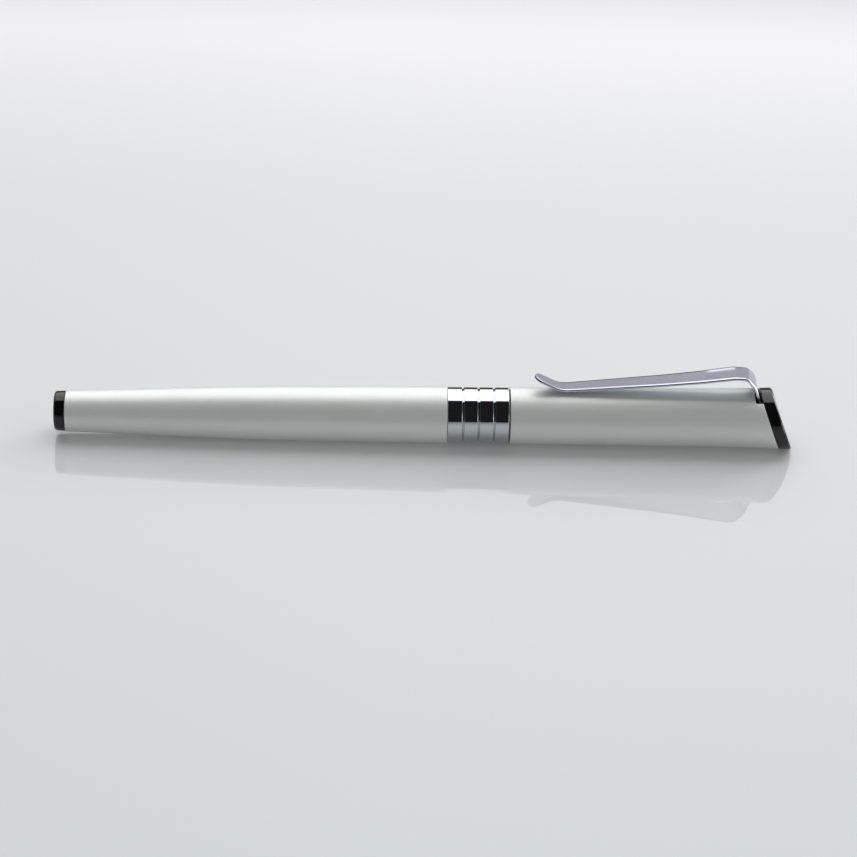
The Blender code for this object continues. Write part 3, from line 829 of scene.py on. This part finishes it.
def make_drop_weight():
    start, end, radius = span("drop_weight")
    wire_hole = 0.00013
    seat = 0.1055
    corners = [
        (start, 0.0, 0.0), (start, radius - 0.0002, 0.00005),
        (start + 0.0003, radius, 0.0001), (end - 0.0004, radius, 0.0001),
        (end, 0.0013, 0.0001), (end, wire_hole, 0.0),
        (seat, wire_hole, 0.0), (seat, 0.0, 0.0),
    ]
    piece = turned("brass_weight", corners, closed=False)
    fit_piece(piece, "drop_weight", brass, "weight_brass")


def make_cleaning_wire():
    start, tip, radius = span("cleaning_wire")
    corners = [(start, 0.0, 0.0), (start, radius, 0.0), (tip, radius, 0.00004), (tip, 0.0, 0.0)]
    piece = turned("fine_wire", corners, WIRE_STEPS, closed=False)
    fit_piece(piece, "cleaning_wire", stainless, "wire_steel")


# ---- ink cartridge ----
def make_cartridge():
    """Milky bottle with a stepped neck, and the ink inside it."""
    rear, neck_end, radius = span("cartridge_body")
    wall = 0.00045
    shoulder = 0.0605
    neck = 0.0023
    neck_bore = 0.00145
    inner = radius - wall
    corners = [
        (rear, 0.0, 0.0), (rear, radius - 0.0001, 0.0005),
        (rear + 0.0006, radius, 0.0003), (shoulder - 0.001, radius, 0.0006),
        (shoulder, neck, 0.0003), (neck_end - 0.0012, neck, 0.0001),
        (neck_end - 0.001, neck - 0.0001, 0.0001), (neck_end, neck - 0.0001, 0.0002),
        (neck_end, neck_bore, 0.0001), (shoulder - 0.0002, neck_bore, 0.0003),
        (shoulder - 0.0015, inner, 0.0004), (rear + 0.0009, inner, 0.0004),
        (rear + 0.0009, 0.0, 0.0),
    ]
    piece = turned("cartridge_bottle", corners, closed=False)
    fit_piece(piece, "cartridge_body", clear_plastic, "bottle_plastic")

    film = 0.00005
    ink_corners = [
        (rear + 0.0009 + film, 0.0, 0.0), (rear + 0.0009 + film, inner - film, 0.0004),
        (shoulder - 0.006, inner - film, 0.0008), (shoulder - 0.0055, 0.0, 0.0),
    ]
    ink = turned("ink_fill", ink_corners, closed=False)
    ink.data.materials.append(drawing_ink("drawing_ink"))
    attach(ink, BODY_OF["cartridge_body"])


def make_cartridge_ball():
    """Sealing ball that the spigot pushed out of the neck."""
    low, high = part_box("cartridge_ball")
    bm = bmesh.new()
    bmesh.ops.create_icosphere(bm, subdivisions=4, radius=(high.x - low.x) / 2,
                               matrix=Matrix.Translation((low + high) / 2))
    piece = finish_mesh(bm, "sealing_ball")
    fit_piece(piece, "cartridge_ball", stainless, "ball_steel")


# ---- cap group ----
def make_snap_ring():
    """Split nylon ring that grips the cap."""
    start, end, radius = span("snap_ring")
    split = math.radians(16)
    piece = sleeve("split_ring", start, end, 0.00403, radius, 0.00014, INNER_STEPS,
                   FULL_TURN - split)
    fit_piece(piece, "snap_ring", natural_nylon, "snap_nylon")


def slanted(axis_x, radius_at, inset=0.0):
    """A row on a slanted plane that meets the axis at axis_x, on a given surface."""
    def row(angle):
        x = axis_x
        for _ in range(4):
            radius = radius_at(x) - inset
            x = axis_x - SLANT * radius * math.cos(angle)
        return x, radius
    return row


def part_way(row, slanted_row, share):
    """A row on the cap's surface, part of the way from an upright row to a slanted one."""
    def between(angle):
        x = slanted_row(angle)[0]
        x = row[0] + (x - row[0]) * share
        return x, cap_radius(x)
    return between


def cap_joint_x():
    """Where the cap shell's slanted end crosses the axis."""
    return CAP_END.x - SLANT * cap_radius(CAP_END.x)


def finial_face_x():
    """Where the outer slanted face crosses the axis, as the record's mount says."""
    mounts = {mount["name"]: mount["pos_m"] for mount in frame["record"]["mounts"]}
    return mounts["cap_end_face"][0]


def make_cap():
    """Silver cap shell with a slanted end and a notch for the clip's foot."""
    mouth = CAP_MOUTH_X
    edge = 0.00006
    straight_end = 0.129
    joint = cap_joint_x()
    corners = [(mouth, CAP_BORE, 0.0), (mouth, CAP_MOUTH_RADIUS, edge)]
    corners += [(x, cap_radius(x), 0.0) for x in spaced(mouth + 0.001, straight_end, 34)]
    rows = round_corners(corners, False)
    shoulder = slanted(joint - edge, cap_radius)
    rows += [part_way(rows[-1], shoulder, share) for share in (0.2, 0.4, 0.6, 0.8, 0.95)]
    rows += [shoulder, slanted(joint - edge * 0.3, cap_radius, edge * 0.3)]
    rows += [slanted(joint, cap_radius, edge)]
    rows += [slanted(joint, lambda x: CAP_BORE)]
    rows += [(x, CAP_BORE) for x in spaced(0.128, mouth + 0.004, 12)]
    piece = lathe("cap_shell", rows, SHELL_STEPS)
    cut_away(piece, *NOTCH, 0.0003)
    fit_piece(piece, "cap_tube", satin_silver, "cap_silver")


def make_finial():
    """Gloss black slanted cap end with a fine chamfered rim and a slotted spigot."""
    face = finial_face_x()
    seat = cap_joint_x() + SEAM_GAP
    chamfer = 0.00032
    seat_edge = 0.00006
    spigot_start, _, _ = span("cap_finial")
    spigot = CAP_BORE - SEAM_GAP
    spigot_edge = 0.0002
    outer = slanted(face, cap_radius, chamfer)

    def on_face(share):
        def row(angle):
            radius = outer(angle)[1] * share
            return face - SLANT * radius * math.cos(angle), radius
        return row

    rows = [on_face(share) for share in (0.0, 0.25, 0.5, 0.75, 0.93)]
    rows += [outer]
    for lean in (0.25, 0.5, 0.75):
        rows.append(slanted(face - chamfer * lean ** 1.3, cap_radius, chamfer * (1 - lean) ** 1.1))
    side_start = face - chamfer
    side_end = seat + seat_edge
    rows += [slanted(side_start, cap_radius), slanted(side_start - chamfer * 0.15, cap_radius)]
    rows += [slanted(x, cap_radius) for x in spaced(side_start, side_end, 4)[1:-1]]
    rows += [slanted(side_end, cap_radius), slanted(seat, cap_radius, seat_edge)]
    rows += [slanted(seat, lambda x: spigot)]
    rows += [(x, spigot) for x in (0.1305, spigot_start + spigot_edge)]
    rows += [(spigot_start, spigot - spigot_edge), (spigot_start, 0.0)]
    piece = lathe("slanted_finial", rows, SHELL_STEPS, closed=False)
    cut_away(piece, *SLOT, 0.0001)
    fit_piece(piece, "cap_finial", gloss_black, "finial_black")


def make_liner():
    start, end, radius = span("cap_liner")
    bore = 0.0045
    corners = [(start, bore, 0.0), (start, radius, 0.0001), (end, radius, 0.0001), (end, bore, 0.0)]
    piece = turned("cap_sleeve", corners)
    fit_piece(piece, "cap_liner", natural_nylon, "liner_nylon")


def make_spring_seat():
    start, end, radius = span("spring_seat")
    boss = 0.002
    corners = [
        (start, 0.0012, 0.0), (start, boss, 0.0001),
        (start + 0.0002, boss, 0.0), (start + 0.0002, radius, 0.0001),
        (end, radius, 0.0002), (end, 0.0012, 0.0002),
    ]
    piece = turned("seat_disc", corners)
    fit_piece(piece, "spring_seat", black_plastic, "seat_black")


def swept_wire(name, points, wire, around=12):
    """A round wire along points, with closed ends."""
    bm = bmesh.new()
    rings = []
    for i, point in enumerate(points):
        ahead = heading(points, i)
        out = Vector((0, point.y, point.z)).normalized()
        side = ahead.cross(out).normalized()
        out = side.cross(ahead)
        ring = []
        for j in range(around):
            angle = FULL_TURN * j / around
            spoke = math.cos(angle) * out + math.sin(angle) * side
            ring.append(bm.verts.new(point + wire * spoke))
        rings.append(ring)
    skin(bm, rings)
    return finish_mesh(bm, name)


def make_seal_spring():
    """Compression spring at its pressed length."""
    low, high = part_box("seal_spring")
    wire = 0.0002
    radius = high.z - 0.00022
    turns = 3
    steps = 40
    x0 = low.x + wire
    x1 = high.x - wire
    points = []
    for i in range(turns * steps + 1):
        angle = FULL_TURN * i / steps
        x = x0 + (x1 - x0) * i / (turns * steps)
        points.append(Vector((x, radius * math.cos(angle), radius * math.sin(angle))))
    piece = swept_wire("pressed_spring", points, wire)
    fit_piece(piece, "seal_spring", stainless, "spring_steel")


def make_seal_cup():
    """Soft cup with a rolled lip that closes over the nib."""
    mouth, closed, radius = span("seal_cup")
    inner = 0.00375
    corners = [
        (closed, 0.0, 0.0), (closed, 0.003, 0.0003),
        (closed - 0.0008, 0.0038, 0.0006), (mouth + 0.003, radius - 0.00015, 0.001),
        (mouth, radius, 0.0002), (mouth, inner, 0.0002),
        (mouth + 0.003, inner - 0.0001, 0.001), (closed - 0.003, 0.003, 0.0008),
        (closed - 0.0009, 0.002, 0.0003), (closed - 0.0009, 0.0, 0.0),
    ]
    piece = turned("nib_seal_cup", corners, closed=False)
    fit_piece(piece, "seal_cup", seal_rubber, "seal_cup_rubber")


def make_wedge():
    low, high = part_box("clip_wedge")
    piece = rounded_block("foot_wedge", low, high, 0.00008)
    fit_piece(piece, "clip_wedge", stainless, "wedge_steel")


# ---- clip ----
def clip_half_width(x, along):
    """Half the clip's width: an even taper, closed by a round tip."""
    share = min((x - CLIP_TIP_X) / (CLIP_BEND_X - CLIP_TIP_X), 1.0)
    half = CLIP_TIP_HALF_WIDTH + (CLIP_BEND_HALF_WIDTH - CLIP_TIP_HALF_WIDTH) * share
    if along < CLIP_TIP_ROUND:
        from_round = 1 - along / CLIP_TIP_ROUND
        half *= math.sqrt(max(1 - from_round ** 2, 0.0))
    return half


def strip_section(half_width, thickness, arc=6, flat=10):
    """Corners of the clip's section with rounded edges, as (across, below) pairs."""
    near = min(CLIP_NEAR_EDGE, half_width * 0.9, thickness * 0.75)
    far = min(CLIP_FAR_EDGE, half_width * 0.9)
    under = min(CLIP_UNDER_EDGE, half_width * 0.5)
    centres = [
        (half_width - far, -far, 90, far),
        (half_width - under, -thickness + under, 0, under),
        (-half_width + under, -thickness + under, -90, under),
        (-half_width + near, -near, -180, near),
    ]
    points = []
    for across, below, first, radius in centres:
        for i in range(arc + 1):
            angle = math.radians(first - 90 * i / arc)
            points.append((across + radius * math.cos(angle), below + radius * math.sin(angle)))
    top = spaced(-half_width + near, half_width - far, flat)
    points += [(across, 0.0) for across in top[1:-1]]
    return points


def clip_path():
    """The clip's outer line, with the round tip's stretch split finely."""
    path = bent_path(CLIP_CORNERS, 14, 14)
    tip_steps = 10
    while (path[1] - path[0]).length < CLIP_TIP_ROUND * 1.02:
        path.pop(1)
    ahead = (path[1] - path[0]).normalized()
    fine = []
    for i in range(tip_steps + 1):
        along = CLIP_TIP_ROUND * (1 - math.cos(math.pi / 2 * i / tip_steps))
        fine.append(path[0] + ahead * along)
    return fine + path[1:]


def make_clip():
    """Bright spring strip: turned-up round tip, long blade, top bend and foot."""
    path = clip_path()
    bend_top = max(range(len(path)), key=lambda index: path[index].y)
    bm = bmesh.new()
    rings = []
    travelled = 0.0
    shortest = 0.000012
    for i, point in enumerate(path):
        travelled += (point - path[max(i - 1, 0)]).length
        ahead = heading(path, i)
        outward = Vector((-ahead.y, ahead.x))
        half = clip_half_width(point.x, max(travelled, shortest))
        on_foot = i > bend_top
        set_share = smooth_step(point.y, *CLIP_SET_FADE) if on_foot else 1.0
        past_bend = smooth_step(point.x, *CLIP_LEG_STRETCH)
        twist = (CLIP_TWIST + (CLIP_LEG_TWIST - CLIP_TWIST) * past_bend) * set_share
        if on_foot:
            half = CLIP_FOOT_HALF_WIDTH + (half - CLIP_FOOT_HALF_WIDTH) * set_share
        thickness = CLIP_FOOT_THICKNESS + (CLIP_THICKNESS - CLIP_FOOT_THICKNESS) * set_share
        curl = CURL_RISE * smooth_step(point.x, *CURL_STRETCH[:2])
        curl *= 0.0 if on_foot else 1 - smooth_step(point.x, *CURL_STRETCH[2:])
        ring = []
        for across, below in strip_section(half, thickness):
            outer = max(across / half - (1 - CURL_SHARE), 0.0) / CURL_SHARE
            rise = below * math.cos(twist) - across * math.sin(twist) + curl * outer ** CURL_POWER
            spot = point + outward * rise
            aside = across * math.cos(twist) + below * math.sin(twist)
            ring.append(bm.verts.new((spot.x, aside, spot.y)))
        rings.append(ring)
    skin(bm, rings)
    piece = finish_mesh(bm, "clip_strip")
    fit_piece(piece, "pocket_clip", bright_chrome, "clip_chrome",
              (0.575, 0.59, 0.69), (0.56, 0.57, 0.63), 0.07)


# ---- stage ----
FLOOR_POINT = Vector((0.06976, 0.0, -0.005333))
FLOOR_RISE_X = -0.0098  # the floor's slope along the pen
FLOOR_RISE_Y = 0.041  # and across it, rising away from the camera
FLOOR_HALF = 1.6
# painted light on the floor: a darker near tone and a lighter far tone stand in for how the light
# falls across it
FLOOR_NEAR_SHADED_TONE = (0.441, 0.476, 0.491)
FLOOR_TONE = (0.488, 0.511, 0.521)
FLOOR_FAR_LIT_TONE = (0.612, 0.605, 0.655)
FLOOR_NEAR_SHADE_STRETCH = (-0.14, -0.03)  # along y, from the painted shade near the camera to the main tone
FLOOR_FAR_LIGHT_STRETCH = (0.1, 0.235)  # and on to the painted light far off
# painted glow: the floor gives off a little light, lifting the shade under the pen
FLOOR_PAINTED_GLOW = (1.0, 0.95, 0.93)
SOFTBOX = (85.0, 90.0, 156.2, 158.2)  # degrees round the pen, from the camera side
DARK_WALL = (0.0, 2.0, 85.0, 93.0)
GREY_WALL = (156.2, 158.2, 163.0, 165.0)
LOW_BACK = (163.0, 165.0, 180.0, 181.0)
CAMERA_TARGET = Vector((0.06976, 0.0, 0.0))
CAMERA_ELEVATION = math.radians(26.55)
CAMERA_YAW = math.radians(-1.64)
CAMERA_ROLL = math.radians(1.33)
CAMERA_DISTANCE = 0.5262
CAMERA_FIELD = math.radians(17.3)
CAMERA_SHIFT = (-0.00114, -0.01642)


def acrylic():
    """Pale polished acrylic, clear from below; painted shade near, painted light far off, painted
    glow.
    """
    graph = Finish("floor_acrylic")
    side, depth, _ = graph.node("ShaderNodeSeparateXYZ", Vector=graph.place).outputs
    # painted shade near the camera and painted light far off, graded along y
    near_shade_share = graph.remap(depth, *FLOOR_NEAR_SHADE_STRETCH, 0.0, 1.0)
    far_light_share = graph.remap(depth, *FLOOR_FAR_LIGHT_STRETCH, 0.0, 1.0, True)
    tone = graph.mix(near_shade_share, FLOOR_NEAR_SHADED_TONE, FLOOR_TONE)
    tone = graph.mix(far_light_share, tone, FLOOR_FAR_LIT_TONE)
    # painted shade: the floor is a little darker towards the flat end's side
    tone = graph.vector("SCALE", tone, graph.remap(side, -0.02, 0.06, 0.955, 1.0))
    # the emission is a painted glow that lifts the contact shadow under the pen
    material = graph.shade(Base_Color=tone, Roughness=0.02, IOR=1.42,
                           Emission_Color=FLOOR_PAINTED_GLOW, Emission_Strength=0.08)
    clear = graph.node("ShaderNodeBsdfTransparent")
    facing = graph.node("ShaderNodeMixShader")
    graph.put(facing.inputs[0], graph.node("ShaderNodeNewGeometry").outputs["Backfacing"])
    graph.put(facing.inputs[1], graph.nodes["Principled BSDF"].outputs[0])
    graph.put(facing.inputs[2], clear.outputs[0])
    graph.put(graph.nodes["Material Output"].inputs["Surface"], facing.outputs[0])
    return material


def make_floor():
    """Plain sheet that the pen rests on."""
    normal = Vector((-FLOOR_RISE_X, -FLOOR_RISE_Y, 1.0)).normalized()
    along = Vector((1.0, 0.0, FLOOR_RISE_X)).normalized()
    across = normal.cross(along)
    bm = bmesh.new()
    bm.faces.new([bm.verts.new(FLOOR_POINT + FLOOR_HALF * (a * along + b * across))
                  for a, b in ((-1, -1), (1, -1), (1, 1), (-1, 1))])
    floor = finish_mesh(bm, "floor")
    if floor.data.polygons[0].normal.z < 0:
        floor.data.flip_normals()
    floor.data.materials.append(acrylic())


def make_studio():
    """Soft studio light by direction: a broad overhead softbox, pale walls, a dark camera side."""
    world = bpy.data.worlds.new("studio")
    bpy.context.scene.world = world
    world.use_nodes = True
    graph = Graph(world.node_tree)
    sky = graph.nodes["Texture Coordinate"].outputs["Generated"]
    x, y, z = graph.node("ShaderNodeSeparateXYZ", Vector=sky).outputs
    around = graph.math("ARCTAN2", z, graph.times(y, -1.0))
    around = graph.times(around, 180 / math.pi)

    # round the pen
    softbox = graph.times(graph.band(around, *SOFTBOX), 2.2)
    total = graph.plus(graph.times(graph.band(around, *DARK_WALL), 0.015), softbox)
    total = graph.times(total, graph.remap(around, 125.0, 155.0, 1.0, 0.86, True))
    grey = graph.times(graph.band(around, *GREY_WALL), graph.remap(x, -0.1, -0.07, 0.0, 0.5))
    low_back = graph.times(graph.band(around, *LOW_BACK), graph.remap(x, 0.12, 0.2, 0.0, 0.5))
    total = graph.plus(total, graph.plus(grey, low_back))
    middle = graph.band(x, -0.75, -0.45, 0.45, 0.75)
    total = graph.times(total, graph.times(middle, graph.remap(x, -0.3, 0.1, 0.86, 1.0)))

    # off its ends
    near_level = graph.plus(graph.times(graph.band(z, -0.2, -0.1, 0.16, 0.26), 2.6), 0.45)
    right = graph.times(graph.remap(x, 0.45, 0.75, 0.0, 1.0, True), near_level)
    window = graph.times(graph.band(y, 0.15, 0.3, 0.8, 0.95),
                         graph.band(z, 0.1, 0.2, 0.5, 0.65))
    window = graph.times(window, graph.remap(x, 0.5, 0.7, 0.0, 4.2, True))
    left = graph.times(graph.remap(x, -0.75, -0.45, 1.0, 0.0, True), 0.12)
    total = graph.plus(total, graph.plus(graph.plus(right, window), left))

    # a fill that only matt surfaces gather
    ray = graph.node("ShaderNodeLightPath")
    fill = graph.plus(graph.times(graph.band(around, -60.0, -20.0, 60.0, 90.0), 0.15), 0.2)
    total = graph.plus(total, graph.times(fill, ray.outputs["Is Diffuse Ray"]))

    # the camera sees a plain backdrop
    seen = ray.outputs["Is Camera Ray"]
    color = graph.mix(seen, (1.0, 1.0, 1.0), (0.8, 0.8, 0.82))
    strength = graph.plus(graph.times(total, graph.math("SUBTRACT", 1.0, seen)), seen)
    background = graph.nodes["Background"]
    graph.put(background.inputs["Color"], color)
    graph.put(background.inputs["Strength"], strength)


def make_camera():
    """Camera above and in front, a little to the flat end's side."""
    data = bpy.data.cameras.new("camera")
    camera = bpy.data.objects.new("camera", data)
    bpy.context.scene.collection.objects.link(camera)
    camera.matrix_world = (
        Matrix.Translation(CAMERA_TARGET)
        @ Matrix.Rotation(CAMERA_YAW, 4, "Z")
        @ Matrix.Rotation(math.pi / 2 - CAMERA_ELEVATION, 4, "X")
        @ Matrix.Rotation(CAMERA_ROLL, 4, "Z")
        @ Matrix.Translation((0.0, 0.0, CAMERA_DISTANCE))
    )
    data.angle = CAMERA_FIELD
    data.shift_x, data.shift_y = CAMERA_SHIFT
    data.clip_start = 0.01
    bpy.context.scene.camera = camera
    bpy.context.scene.view_settings.view_transform = "Standard"


def make_pen():
    makers = (
        make_barrel, make_end_plug, make_plain_sleeves, make_thread_bush, make_centre_ring,
        make_grip, make_feed, make_feed_seal, make_nib_holder, make_drawing_tube,
        make_drop_weight, make_cleaning_wire, make_cartridge, make_cartridge_ball,
        make_snap_ring, make_cap, make_finial, make_liner, make_spring_seat,
        make_seal_spring, make_seal_cup, make_wedge, make_clip,
    )
    for make_piece in makers:
        make_piece()


make_pen()
make_floor()
make_studio()
make_camera()
